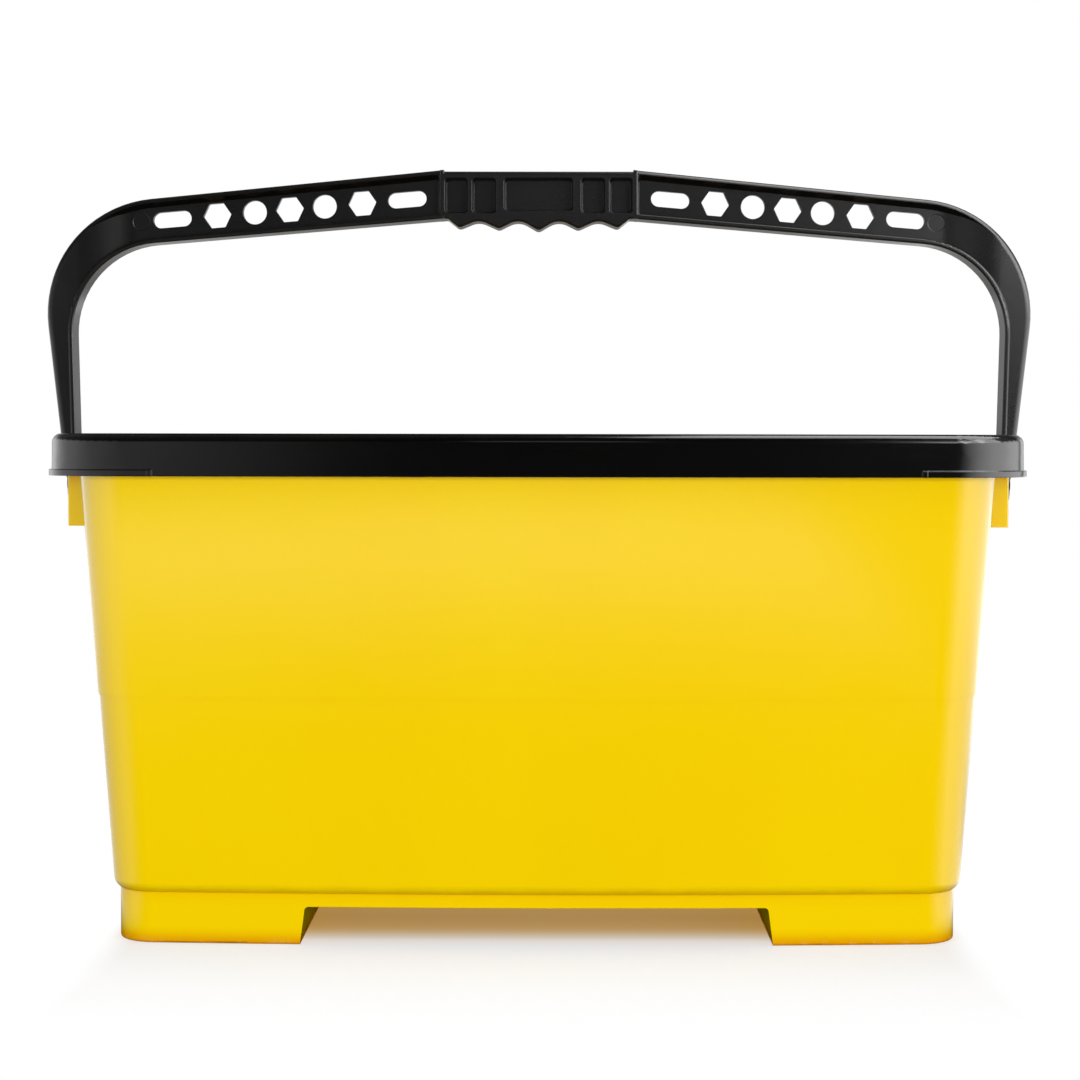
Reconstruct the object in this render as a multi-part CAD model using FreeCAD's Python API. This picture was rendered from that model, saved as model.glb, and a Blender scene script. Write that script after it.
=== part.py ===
import FreeCAD, Part
import math
import os

# Window cleaning bucket: a tapered rectangular tub on two feet, a rim that caps its edge,
# and an upright carrying handle that swings on two pins under the ends of the rim.
# Millimetres. Z is up from the floor, X runs along the bucket, and the front faces -Y.
# The origin lies on the floor under the middle of the bucket.

Vector = FreeCAD.Vector

# Tub: outside sizes at its top edge, and how the walls lean in below it
tub_length = 472.8
tub_width = 243.0
tub_height = 257.95
end_draft = math.radians(3.81)
side_draft = math.radians(3.9)
tub_corner_at_top = 31.0
tub_corner_at_floor = 25.0
side_bow_radius = 3200.0
end_bow_radius = 5200.0
tub_wall = 3.0
tub_floor = 3.0
floor_underside = 25.3
floor_edge_radius = 7.0
inner_edge_radius = 5.0

# The step around the walls: the tub is a little smaller below it
step_height = 127.3
step_inset = 0.7
step_band = 2.2

# Base skirt under the floor: two feet with a shallow gap between them
skirt_inset = 2.9
skirt_wall = 3.2
gap_half_length_at_top = 118.4
gap_half_length_at_floor = 121.0
gap_height = 19.5
gap_corner_radius = 2.2
foot_edge_radius = 1.2

# Out-turned edge of the tub, which the rim caps
edge_thickness = 3.0
edge_lip_thickness = 2.4
edge_lip_drop = 9.0

# Rim
rim_overhang = 13.2
rim_skirt_height = 21.35
rim_draft = math.radians(1.0)
rim_wall = 2.6
rim_top_wall = 3.1
rim_edge_radius = 4.6
rim_inner_edge_radius = 1.2
rim_inner_drop = 11.0
rim_seat_clearance = 0.1
rim_side_clearance = 0.4
snap_reach = 1.2
snap_height = 1.8
ledge_reach = 1.35
ledge_height = 3.2
ledge_start = 193.0
ledge_block_length = 2.5
ledge_block_reach = 0.7

# Pivot ears on the tub's ends, and the pins in them
ear_proud = 0.45
ear_width = 73.0
ear_height = 27.35
ear_wall = 3.0
ear_rim_clearance = 0.5
ear_edge_radius = 1.0
pivot_drop = 5.3
pin_radius = 3.5
pin_depth_in_ear = 15.0
pin_boss_wall = 2.8
pin_seat_clearance = 0.02
pin_running_clearance = 0.06
pin_head_radius = 6.2
pin_head_thickness = 1.5
pin_head_clearance = 0.3
pin_head_sink = 0.8
pin_tip_chamfer = 0.8

# Handle: its arms start at the pins and lean out, its beams rise to the grip
arm_side_clearance = 0.6
arm_thickness = 6.8
arm_outer_lean = math.radians(6.3)
arm_inner_lean = math.radians(1.3)
arm_end_radius = 9.3
arm_tip_round = 1.4
handle_depth = 17.0
handle_rise = 170.65
beam_height = 26.8
beam_top_slope = math.radians(5.66)
beam_bottom_slope = math.radians(4.87)
outer_corner_radius = 63.0
inner_corner_radius = 48.5
face_recess = 1.6
face_edge_radius = 3.4
face_edge_share = 0.7
lip_width = 2.9
lip_edge_radius = 1.1
top_flange = 4.8
flange_wall_draft = math.radians(27)
web = 4.0
rib_thickness = 2.3
rib_top_step = 0.4
pocket_corner_radius = 2.0
pocket_draft = math.radians(7)
scoop_past_beam = 12.5
scoop_length = 19.0
scoop_radius = 34.0
scoop_brow_radius = 84.0
scoop_run_out = 15.0
scoop_shortfall = 0.1
mould_disc_radius = 4.7
mould_disc_depth = 0.2
mould_disc_pitch = 16.9

# Grip and its finger hold
grip_length = 105.2
grip_step = 1.1
grip_edge_radius = 1.8
grip_top_wall = 3.5
grip_pocket_height = 17.8
side_pocket_height = 19.0
grip_pocket_end_shares = ((-0.358, 0.358), (0.438, 0.689), (0.731, 0.972))
finger_hold_half_length = 49.5
finger_pitch = 21.65
finger_hold_end_radius = 1.5
bump_radius = 3.0
bump_corner_drops = (6.4, 5.45, 5.0)
groove_radius = 9.9
groove_corner_drops = (0.1, 0.5)

# Row of holes in each beam: its middle as a share of the beam, the holes either side of it too
hole_row_height = 12.6
row_middle_share = 0.524
round_hole_share = 0.12
hexagon_hole_share = 0.249
slot_hole_share = 0.4035
slot_length = 21.0
slot_width = 8.6
hexagon_across_flats = 13.25
hexagon_corner_radius = 0.8
round_hole_radius = 6.5

# One overrun for every cut, and the tolerance within which an edge is found by its place
overrun = 5.0
hair = 0.001

# Places that follow from the sizes above
rim_top = tub_height + rim_seat_clearance + rim_top_wall
rim_bottom = rim_top - rim_skirt_height
edge_reach = rim_overhang - rim_wall - rim_side_clearance
edge_bottom = tub_height - edge_thickness - edge_lip_drop
ear_reach = tub_length / 2 + rim_overhang + ledge_reach + ear_proud
ear_top = rim_bottom - ear_rim_clearance
ear_bottom = ear_top - ear_height
pivot_height = rim_bottom - pivot_drop


def plan_wire(half_length, half_width, corner, side_radius, end_radius, z):
    """Outline seen from above: four bowed sides joined by tangent corner arcs."""
    side_centre = Vector(0, half_width - side_radius, 0)
    end_centre = Vector(half_length - end_radius, 0, 0)
    middle = circles_meet(side_centre, side_radius - corner, end_centre, end_radius - corner)
    to_side = (middle - side_centre).normalize()
    to_end = (middle - end_centre).normalize()
    side_point = middle + to_side * corner
    end_point = middle + to_end * corner
    corner_point = middle + (to_side + to_end).normalize() * corner
    side_middle = Vector(0, half_width, 0)
    end_middle = Vector(half_length, 0, 0)

    def placed(point, sign_x, sign_y):
        return Vector(point.x * sign_x, point.y * sign_y, z)

    arcs = [
        (placed(side_point, -1, -1), placed(side_middle, 1, -1), placed(side_point, 1, -1)),
        (placed(side_point, 1, -1), placed(corner_point, 1, -1), placed(end_point, 1, -1)),
        (placed(end_point, 1, -1), placed(end_middle, 1, 1), placed(end_point, 1, 1)),
        (placed(end_point, 1, 1), placed(corner_point, 1, 1), placed(side_point, 1, 1)),
        (placed(side_point, 1, 1), placed(side_middle, 1, 1), placed(side_point, -1, 1)),
        (placed(side_point, -1, 1), placed(corner_point, -1, 1), placed(end_point, -1, 1)),
        (placed(end_point, -1, 1), placed(end_middle, -1, 1), placed(end_point, -1, -1)),
        (placed(end_point, -1, -1), placed(corner_point, -1, -1), placed(side_point, -1, -1)),
    ]
    return Part.Wire([Part.Arc(*arc).toShape() for arc in arcs])


def circles_meet(first, first_radius, second, second_radius):
    """The point with positive x and y where two circles cross."""
    between = second - first
    distance = between.Length
    along = (first_radius ** 2 - second_radius ** 2 + distance ** 2) / (2 * distance)
    aside = math.sqrt(first_radius ** 2 - along ** 2)
    unit = between * (1 / distance)
    turned = Vector(-unit.y, unit.x, 0)
    options = [first + unit * along + turned * (aside * sign) for sign in (1, -1)]
    return max(options, key=lambda point: min(point.x, point.y))


def tub_wire(level, grow, z):
    """The tub's outline at one level of its walls, grown outwards and laid at height z."""
    below = tub_height - level
    share = below / (tub_height - floor_underside)
    corner = tub_corner_at_top + (tub_corner_at_floor - tub_corner_at_top) * share
    return plan_wire(tub_length / 2 - below * math.tan(end_draft) + grow,
                     tub_width / 2 - below * math.tan(side_draft) + grow,
                     corner + grow, side_bow_radius + grow, end_bow_radius + grow, z)


def loft(wires):
    return Part.makeLoft(wires, True, True)


def tub_form(bottom, top, grow):
    """The tub's walls as a full solid, with the step around them."""
    step_low = step_height - step_band / 2
    step_high = step_height + step_band / 2
    return loft([tub_wire(bottom, grow - step_inset, bottom),
                 tub_wire(step_low, grow - step_inset, step_low),
                 tub_wire(step_high, grow, step_high),
                 tub_wire(top, grow, top)])


def edge_form(grow, bottom, top):
    """A straight-sided solid with the outline of the tub's top edge."""
    return loft([tub_wire(tub_height, grow, bottom), tub_wire(tub_height, grow, top)])


def floor_form(grow, bottom, top):
    """A straight-sided solid with the outline of the tub's floor."""
    grown = grow - step_inset
    return loft([tub_wire(floor_underside, grown, bottom), tub_wire(floor_underside, grown, top)])


def edges_at_height(shape, z):
    """Edges that lie flat at one height."""
    return [edge for edge in shape.Edges
            if abs(edge.BoundBox.ZMin - z) < hair and abs(edge.BoundBox.ZMax - z) < hair]


def box(x, y, z):
    """A box from pairs of low and high values."""
    return Part.makeBox(x[1] - x[0], y[1] - y[0], z[1] - z[0], Vector(x[0], y[0], z[0]))


def both_ends(shape):
    """The shape and its mirror image at the other end of the bucket."""
    return [shape, shape.mirror(Vector(0, 0, 0), Vector(1, 0, 0))]


def gap_form():
    """The gap between the feet, running through from front to back."""
    across = tub_width
    corners = [(-gap_half_length_at_floor, 0, 0),
               (gap_half_length_at_floor, 0, 0),
               (gap_half_length_at_top, gap_height, gap_corner_radius),
               (-gap_half_length_at_top, gap_height, gap_corner_radius)]
    opening = Part.Face(rounded_wire(corners)).extrude(Vector(0, 2 * across, 0))
    opening.translate(Vector(0, -across, 0))
    below = box((-gap_half_length_at_floor, gap_half_length_at_floor), (-across, across),
                (-overrun, 0))
    return opening.fuse(below)


def base_skirt():
    """The skirt under the floor, cut into two feet, each closed by a cross wall."""
    top = floor_underside + floor_edge_radius / 2
    outside = floor_form(-skirt_inset, 0, top)
    outside = outside.makeFillet(foot_edge_radius, edges_at_height(outside, 0))
    inside = floor_form(-skirt_inset - skirt_wall, -overrun, top + overrun)
    ring = outside.cut(inside)
    lean = gap_half_length_at_floor - gap_half_length_at_top
    wall_points = [(gap_half_length_at_floor, 0, 0),
                   (gap_half_length_at_floor + skirt_wall, 0, 0),
                   (gap_half_length_at_top + skirt_wall - lean, floor_underside + tub_floor / 2, 0),
                   (gap_half_length_at_top - lean, floor_underside + tub_floor / 2, 0)]
    wall = Part.Face(rounded_wire(wall_points)).extrude(Vector(0, tub_width, 0))
    wall.translate(Vector(0, -tub_width / 2, 0))
    walls = [part.common(outside) for part in both_ends(wall)]
    return ring.multiFuse(walls).cut(gap_form())


def ear():
    """One pivot ear: a box under the rim, open below, with a boss for the pin."""
    half = ear_width / 2
    inner = tub_length / 2 - tub_height * math.tan(end_draft)
    block = box((inner, ear_reach), (-half, half), (ear_bottom, ear_top))
    outer_edges = [edge for edge in block.Edges
                   if abs(edge.BoundBox.XMin - ear_reach) < hair and edge.BoundBox.ZLength > overrun]
    block = block.makeFillet(ear_edge_radius, outer_edges)
    pocket = box((inner - overrun, ear_reach - ear_wall), (ear_wall - half, half - ear_wall),
                 (ear_bottom - overrun, ear_top - ear_wall))
    boss_radius = pin_radius + pin_boss_wall
    boss = pin_cylinder(boss_radius, inner - overrun, ear_reach)
    boss_root = box((inner - overrun, ear_reach), (-boss_radius, boss_radius), (pivot_height, ear_top))
    return block.cut(pocket.cut(boss.fuse(boss_root)))


def pin_cylinder(radius, x_from, x_to):
    """A cylinder on the pivot axis at the right-hand end."""
    return Part.makeCylinder(radius, x_to - x_from, Vector(x_from, 0, pivot_height), Vector(1, 0, 0))


def tub():
    walls = tub_form(floor_underside, tub_height, 0)
    walls = walls.makeFillet(floor_edge_radius, edges_at_height(walls, floor_underside))
    edge_hollow = edge_form(edge_reach - edge_lip_thickness, edge_bottom - overrun,
                            tub_height - edge_thickness)
    edge = edge_form(edge_reach, edge_bottom, tub_height).cut(edge_hollow)
    solid = walls.multiFuse([edge, base_skirt()] + both_ends(ear()))
    cavity = tub_form(floor_underside + tub_floor, tub_height, -tub_wall)
    cavity = cavity.makeFillet(inner_edge_radius, edges_at_height(cavity, floor_underside + tub_floor))
    mouth = tub_wire(tub_height, -tub_wall, tub_height)
    above = tub_wire(tub_height, -tub_wall, tub_height + overrun)
    bore = pin_cylinder(pin_radius + pin_seat_clearance, ear_reach - pin_depth_in_ear,
                        ear_reach + overrun)
    return solid.cut(cavity).cut(loft([mouth, above])).cut(Part.makeCompound(both_ends(bore)))


def rim_form(grow, bottom, top):
    """The rim's outside as a full solid, drawn in by its draft towards the top."""
    lean_at_bottom = (bottom - rim_bottom) * math.tan(rim_draft)
    lean_at_top = (top - rim_bottom) * math.tan(rim_draft)
    return loft([tub_wire(tub_height, rim_overhang + grow - lean_at_bottom, bottom),
                 tub_wire(tub_height, rim_overhang + grow - lean_at_top, top)])


def inside_tub(clearance, bottom, top):
    """A solid that follows the inside of the tub's wall, clear of it."""
    grow = -tub_wall - clearance
    return loft([tub_wire(bottom, grow, bottom), tub_wire(tub_height, grow, top)])


def rim_ledge():
    """The small ledge around both ends, with a block where it starts."""
    top = rim_bottom + ledge_height
    plain = rim_form(0, rim_bottom, top)
    ledge = rim_form(ledge_reach, rim_bottom, top).cut(plain)
    block = rim_form(ledge_reach + ledge_block_reach, rim_bottom, top).cut(plain)
    far = tub_length
    ends = box((ledge_start, far), (-far, far), (rim_bottom - overrun, top + overrun))
    starts = box((ledge_start - ledge_block_length, ledge_start), (-far, far),
                 (rim_bottom - overrun, top + overrun))
    return ([ledge.common(end) for end in both_ends(ends)]
            + [block.common(start) for start in both_ends(starts)])


def rim():
    inner_bottom = tub_height - rim_inner_drop
    under_top = rim_top - rim_top_wall
    outside = rim_form(0, rim_bottom, rim_top)
    outside = outside.makeFillet(rim_edge_radius, edges_at_height(outside, rim_top))
    outside = outside.multiFuse(rim_ledge())
    plug = inside_tub(rim_side_clearance, inner_bottom, under_top)
    hollow = rim_form(-rim_wall, rim_bottom - overrun, under_top).cut(plug)
    snap_top = edge_bottom - rim_side_clearance
    snap = rim_form(-rim_wall, snap_top - snap_height, snap_top)
    snap = snap.cut(rim_form(-rim_wall - snap_reach, snap_top - snap_height, snap_top))
    opening = inside_tub(rim_side_clearance + rim_wall, inner_bottom - overrun, rim_top + overrun)
    cap = outside.cut(hollow.cut(snap)).cut(opening)
    middle_of_wall = tub_width / 2 + rim_wall
    mouth = [edge for edge in edges_at_height(cap, rim_top)
             if abs(edge.valueAt(edge.FirstParameter).y) < middle_of_wall]
    return cap.makeFillet(rim_inner_edge_radius, mouth)


def pivot_pin():
    """The right-hand pin: a shank pressed into the ear, and a head sunk in the arm."""
    shank = pin_cylinder(pin_radius, ear_reach - pin_depth_in_ear, pin_head_outer_x())
    tip = [edge for edge in shank.Edges
           if edge.BoundBox.XMax < ear_reach - pin_depth_in_ear + overrun]
    shank = shank.makeChamfer(pin_tip_chamfer, tip)
    head = pin_cylinder(pin_head_radius, pin_head_outer_x() - pin_head_thickness, pin_head_outer_x())
    return shank.fuse(head).removeSplitter()


def pin_head_outer_x():
    return ear_reach + arm_side_clearance + arm_thickness - pin_head_sink


def shift(line, distance):
    """A line, as x, z and angle, moved sideways to the left of its direction."""
    x, z, angle = line
    return (x - distance * math.sin(angle), z + distance * math.cos(angle), angle)


def meet(first, second):
    """Where two lines cross."""
    x1, z1, a1 = first
    x2, z2, a2 = second
    along = ((x2 - x1) * math.sin(a2) - (z2 - z1) * math.cos(a2)) / math.sin(a2 - a1)
    return (x1 + along * math.cos(a1), z1 + along * math.sin(a1))


def at_x(line, x):
    return (x, line[1] + (x - line[0]) * math.tan(line[2]))


def at_z(line, z):
    return (line[0] + (z - line[1]) / math.tan(line[2]), z)


def rounded_wire(corners):
    """A closed outline in the XZ plane from corners (x, z, radius); radius 0 is sharp."""
    starts, ends, edges = [], [], []
    count = len(corners)
    for index in range(count):
        before = Vector(corners[index - 1][0], 0, corners[index - 1][1])
        here = Vector(corners[index][0], 0, corners[index][1])
        after = Vector(corners[(index + 1) % count][0], 0, corners[(index + 1) % count][1])
        radius = corners[index][2]
        back = (before - here).normalize()
        ahead = (after - here).normalize()
        half_angle = back.getAngle(ahead) / 2
        length = radius / math.tan(half_angle)
        starts.append(here + back * length)
        ends.append(here + ahead * length)
        if radius > 0:
            inward = (back + ahead).normalize()
            middle = here + inward * (radius / math.sin(half_angle) - radius)
            edges.append(Part.Arc(starts[-1], middle, ends[-1]).toShape())
    for index in range(count):
        if ends[index - 1].distanceToPoint(starts[index]) > hair:
            edges.append(Part.LineSegment(ends[index - 1], starts[index]).toShape())
    return Part.Wire(Part.__sortEdges__(edges))


def slab(wire, y_from, y_to):
    """A flat outline in the XZ plane as a solid between two depths."""
    solid = Part.Face(wire).extrude(Vector(0, y_to - y_from, 0))
    solid.translate(Vector(0, y_from, 0))
    return solid


# The four lines of the right-hand half of the handle, each as x, z and angle
pivot_reach = ear_reach + arm_side_clearance
beam_start = grip_length / 2
handle_top = pivot_height + handle_rise
top_line = (beam_start, handle_top, -beam_top_slope)
bottom_line = (beam_start, handle_top - beam_height, -beam_bottom_slope)
outer_line = (pivot_reach + arm_thickness, pivot_height, math.pi / 2 - arm_outer_lean)
inner_line = (pivot_reach, pivot_height, math.pi / 2 - arm_inner_lean)
tip_height = pivot_height - arm_end_radius


def outer_corner():
    """The corner of the outer lines, and the two ends and the middle of the arc that rounds it."""
    x, z = meet(top_line, outer_line)
    half_turn = (outer_line[2] - top_line[2]) / 2
    length = outer_corner_radius * math.tan(math.pi / 2 - half_turn)
    inward = top_line[2] + math.pi + half_turn
    depth = outer_corner_radius / math.sin(half_turn) - outer_corner_radius
    return {"beam_end": x - length * math.cos(top_line[2]),
            "arc_middle": (x + depth * math.cos(inward), z + depth * math.sin(inward))}


beam_end = outer_corner()["beam_end"]
beam_length = beam_end - beam_start


def handle_band(outer_margin, inner_margin, start):
    """Outline from the beam around the corner and down the arm, inset by two margins."""
    top = shift(top_line, -outer_margin)
    outer = shift(outer_line, outer_margin)
    inner = shift(inner_line, -inner_margin)
    bottom = shift(bottom_line, inner_margin)
    tip_round = min(arm_tip_round, (arm_thickness - outer_margin - inner_margin) / 3)
    return rounded_wire([at_x(top, start) + (0,),
                         meet(top, outer) + (outer_corner_radius - outer_margin,),
                         at_z(outer, tip_height) + (tip_round,),
                         at_z(inner, tip_height) + (0,),
                         meet(bottom, inner) + (inner_corner_radius + inner_margin,),
                         at_x(bottom, start) + (0,)])


def lip_wire():
    """Outline of the raised lip along the inner side of the beam and the arm."""
    inner = shift(inner_line, -lip_width)
    bottom = shift(bottom_line, lip_width)
    start = beam_start - rib_thickness / 2
    return rounded_wire([at_x(bottom, start) + (0,),
                         meet(bottom, inner) + (inner_corner_radius + lip_width,),
                         at_z(inner, tip_height) + (0,),
                         at_z(inner_line, tip_height) + (0,),
                         meet(bottom_line, inner_line) + (inner_corner_radius,),
                         at_x(bottom_line, start) + (0,)])


def face_edges(shape, depth):
    """Edges in the front and back faces of a slab."""
    return [edge for edge in shape.Edges
            if edge.BoundBox.YLength < hair and abs(abs(edge.BoundBox.YMin) - depth / 2) < hair]


def handle_body():
    """The beam, corner and arm without their pockets, with a soft outer edge."""
    depth = handle_depth - 2 * face_recess
    body = slab(handle_band(0, lip_width / 2, beam_start), -depth / 2, depth / 2)
    on_outside = [at_x(top_line, (beam_start + beam_end) / 2),
                  outer_corner()["arc_middle"],
                  at_z(outer_line, pivot_height + arm_end_radius)]
    soft = edges_through(face_edges(body, depth), on_outside)
    radius = min(face_edge_radius, (arm_thickness - lip_width / 2) * face_edge_share)
    return body.makeFillet(radius, soft)


def edges_through(edges, points):
    """The edges that pass through one of the points of the XZ plane, at any depth."""
    found = []
    for edge in edges:
        depth = edge.BoundBox.YMin
        places = [Part.Vertex(x, depth, z) for x, z in points]
        if min(edge.distToShape(place)[0] for place in places) < hair:
            found.append(edge)
    return found


def handle_lip():
    lip = slab(lip_wire(), -handle_depth / 2, handle_depth / 2)
    long_edges = [edge for edge in face_edges(lip, handle_depth) if edge.Length > lip_width * 2]
    return lip.makeFillet(lip_edge_radius, long_edges)


def end_rib():
    """The full-depth rib where the beam meets the grip, a little lower than the beam's top."""
    near = beam_start - rib_thickness / 2
    far = beam_start + rib_thickness / 2
    rib_top = shift(top_line, -rib_top_step)
    rib = slab(rounded_wire([at_x(rib_top, near) + (0,),
                             at_x(rib_top, far) + (0,),
                             at_x(bottom_line, far) + (0,),
                             at_x(bottom_line, near) + (0,)]), -handle_depth / 2, handle_depth / 2)
    upright = [edge for edge in face_edges(rib, handle_depth) if edge.BoundBox.ZLength > rib_thickness * 2]
    return rib.makeFillet(lip_edge_radius / 2, upright)


def drafted(outline, depth):
    """A front pocket cutter between the web and a depth; outline gives its wire at a distance."""
    near_web = outline(0)
    near_face = outline(depth - web / 2)
    near_web.translate(Vector(0, -web / 2, 0))
    near_face.translate(Vector(0, -depth, 0))
    return loft([near_web, near_face])


def beam_channel(distance):
    """Outline of the beam's pocket at a distance in front of the web, wider further out."""
    start = beam_start + rib_thickness / 2 + (handle_depth / 2 - web / 2 - distance) * math.tan(pocket_draft)
    flange = top_flange - distance * math.tan(flange_wall_draft)
    top = shift(top_line, -flange)
    bottom = shift(bottom_line, lip_width)
    outer = shift(outer_line, flange)
    inner = shift(inner_line, -lip_width)
    middle = pivot_height + handle_rise / 2
    return rounded_wire([at_x(top, start) + (pocket_corner_radius,),
                         meet(top, outer) + (outer_corner_radius - flange,),
                         at_z(outer, middle) + (0,),
                         at_z(inner, middle) + (0,),
                         meet(bottom, inner) + (inner_corner_radius + lip_width,),
                         at_x(bottom, start) + (pocket_corner_radius,)])


def beam_pocket():
    """The front pocket of one beam: flat at the web, rising in an S to the corner's face."""
    channel = drafted(beam_channel, handle_depth / 2)
    scoop_start = beam_end + scoop_past_beam
    scoop_end = scoop_start + scoop_length
    run_out = scoop_end + scoop_run_out
    face = handle_depth / 2 - face_recess
    seen_from_above = rounded_wire([(0, web / 2, 0),
                                    (scoop_start, web / 2, scoop_radius),
                                    (scoop_end, face - scoop_shortfall, scoop_brow_radius),
                                    (run_out, face + scoop_shortfall, 0),
                                    (run_out, handle_depth, 0),
                                    (0, handle_depth, 0)])
    kept = slab(seen_from_above, pivot_height, handle_top)
    kept.rotate(Vector(0, 0, 0), Vector(1, 0, 0), 90)
    return channel.common(kept)


def hole_place(share, further=0):
    """The point of the hole row at a share of the beam from its middle, and a length further."""
    row = shift(bottom_line, hole_row_height)
    x, z = at_x(row, beam_start + (row_middle_share + share) * beam_length)
    return (x + further * math.cos(row[2]), z + further * math.sin(row[2]))


def turned_slab(points, place, radius):
    """A through cutter from points about a place in the hole row, turned with the beam."""
    cos, sin = math.cos(-beam_bottom_slope), math.sin(-beam_bottom_slope)
    corners = [(place[0] + x * cos - z * sin, place[1] + x * sin + z * cos, radius) for x, z in points]
    return slab(rounded_wire(corners), -handle_depth, handle_depth)


def slot_hole(place):
    half_length, half_width = slot_length / 2, slot_width / 2
    points = [(-half_length, -half_width), (half_length, -half_width),
              (half_length, half_width), (-half_length, half_width)]
    return turned_slab(points, place, half_width)


def hexagon_hole(place):
    radius = hexagon_across_flats / 2 / math.cos(math.pi / 6)
    points = [(radius * math.cos(math.pi / 3 * turn), radius * math.sin(math.pi / 3 * turn))
              for turn in range(6)]
    return turned_slab(points, place, hexagon_corner_radius)


def round_hole(place):
    return Part.makeCylinder(round_hole_radius, 2 * handle_depth,
                             Vector(place[0], -handle_depth, place[1]), Vector(0, 1, 0))


def hole_row():
    """Slot, hexagon, round, hexagon, round, hexagon, slot, from the grip outwards."""
    holes = [hexagon_hole(hole_place(0))]
    for side in (1, -1):
        holes.append(round_hole(hole_place(round_hole_share * side)))
        holes.append(hexagon_hole(hole_place(hexagon_hole_share * side)))
        holes.append(slot_hole(hole_place(slot_hole_share * side)))
    return holes


def mould_disc():
    """The faint round mark at the end of the pocket's floor."""
    x, z = hole_place(slot_hole_share, mould_disc_pitch)
    return Part.makeCylinder(mould_disc_radius, handle_depth,
                             Vector(x, mould_disc_depth - web / 2, z), Vector(0, -1, 0))


def arm_end_waste():
    """What lies outside the round end of the arm, below the pivot."""
    half = arm_end_radius
    lower = box((ear_reach - overrun, pivot_reach + handle_depth), (-handle_depth, handle_depth),
                (tip_height - overrun, pivot_height))
    return lower.cut(pin_cylinder(half, ear_reach - 2 * overrun, pivot_reach + 2 * handle_depth))


def handle_half():
    """The right-hand beam, corner and arm."""
    half = handle_body().multiFuse([handle_lip(), end_rib()])
    front = [beam_pocket(), mould_disc()]
    back = [cut.mirror(Vector(0, 0, 0), Vector(0, 1, 0)) for cut in front]
    bore = pin_cylinder(pin_radius + pin_running_clearance, ear_reach - overrun,
                        pivot_reach + arm_thickness + overrun)
    head_seat = pin_cylinder(pin_head_radius + pin_head_clearance,
                             pin_head_outer_x() - pin_head_thickness - pin_head_clearance,
                             pivot_reach + arm_thickness + overrun)
    cutters = front + back + hole_row() + [bore, head_seat, arm_end_waste()]
    return half.cut(Part.makeCompound(cutters))


def finger_wave():
    """Corners of the grip's underside: five bumps with a groove between each two fingers."""
    base = handle_top - beam_height
    last = len(bump_corner_drops) - 1
    corners = [(-finger_hold_half_length, base, finger_hold_end_radius)]
    for bump in range(-last, last + 1):
        place = bump * finger_pitch
        corners.append((place, base - bump_corner_drops[abs(bump)], bump_radius))
        if bump < last:
            between = min(abs(bump), abs(bump + 1))
            corners.append((place + finger_pitch / 2, base - groove_corner_drops[between], groove_radius))
    return corners + [(finger_hold_half_length, base, finger_hold_end_radius)]


def grip():
    base = handle_top - beam_height
    top = handle_top - grip_step
    outline = rounded_wire([(-beam_start, base, 0)] + finger_wave()
                           + [(beam_start, base, 0), (beam_start, top, 0), (-beam_start, top, 0)])
    solid = slab(outline, -handle_depth / 2, handle_depth / 2)
    soft = [edge for edge in face_edges(solid, handle_depth)
            if abs(edge.CenterOfMass.x) < beam_start - hair]
    return solid.makeFillet(grip_edge_radius, soft)


def grip_pocket(start, end, height):
    """One shallow pocket in the front of the grip, between two shares of its half-length."""
    top = handle_top - grip_step - grip_top_wall
    low = top - height

    def outline(distance):
        narrower = (handle_depth / 2 - web / 2 - distance) * math.tan(pocket_draft)
        left, right = start * beam_start + narrower, end * beam_start - narrower
        corners = [(left, low + narrower), (right, low + narrower),
                   (right, top - narrower), (left, top - narrower)]
        return rounded_wire([corner + (pocket_corner_radius,) for corner in corners])

    return drafted(outline, handle_depth / 2)


def grip_pockets():
    """Five shallow pockets in the front of the grip and five in its back."""
    (start, end), *side_shares = grip_pocket_end_shares
    pockets = [grip_pocket(start, end, grip_pocket_height)]
    for start, end in side_shares:
        pockets.append(grip_pocket(start, end, side_pocket_height))
        pockets.append(grip_pocket(-end, -start, side_pocket_height))
    return pockets + [pocket.mirror(Vector(0, 0, 0), Vector(0, 1, 0)) for pocket in pockets]


def handle():
    middle = grip().cut(Part.makeCompound(grip_pockets()))
    return middle.multiFuse(both_ends(handle_half())).removeSplitter()


def main():
    right_pin = pivot_pin()
    nodes = {
        "tub": tub(),
        "rim": rim(),
        "handle": handle(),
        "right_pivot_pin": right_pin,
        "left_pivot_pin": both_ends(right_pin)[1],
    }
    os.makedirs("parts", exist_ok=True)
    for name, shape in nodes.items():
        solid = shape.Solids[0] if len(shape.Solids) == 1 else shape
        bounds = solid.BoundBox
        print(name, "solids", len(shape.Solids), "valid", solid.isValid(), "volume", round(solid.Volume),
              "x", round(bounds.XMin, 2), round(bounds.XMax, 2), "y", round(bounds.YMin, 2),
              round(bounds.YMax, 2), "z", round(bounds.ZMin, 2), round(bounds.ZMax, 2))
        solid.exportStep("parts/" + name + ".step")


main()
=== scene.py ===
# %% [markdown]
# # A window cleaning bucket
# The bucket is three mouldings and two pins: a yellow tub, a black rim that caps its edge, and
# a black handle that swings on the pins. The shapes come from the CAD model, at their real size,
# so this lesson is about the looks: the camera, the studio, and how moulded plastic is made of
# nodes. Nothing here moves or resizes a CAD piece.

# %% Load the model
import math

import bpy
from mathutils import Matrix, Vector


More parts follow.
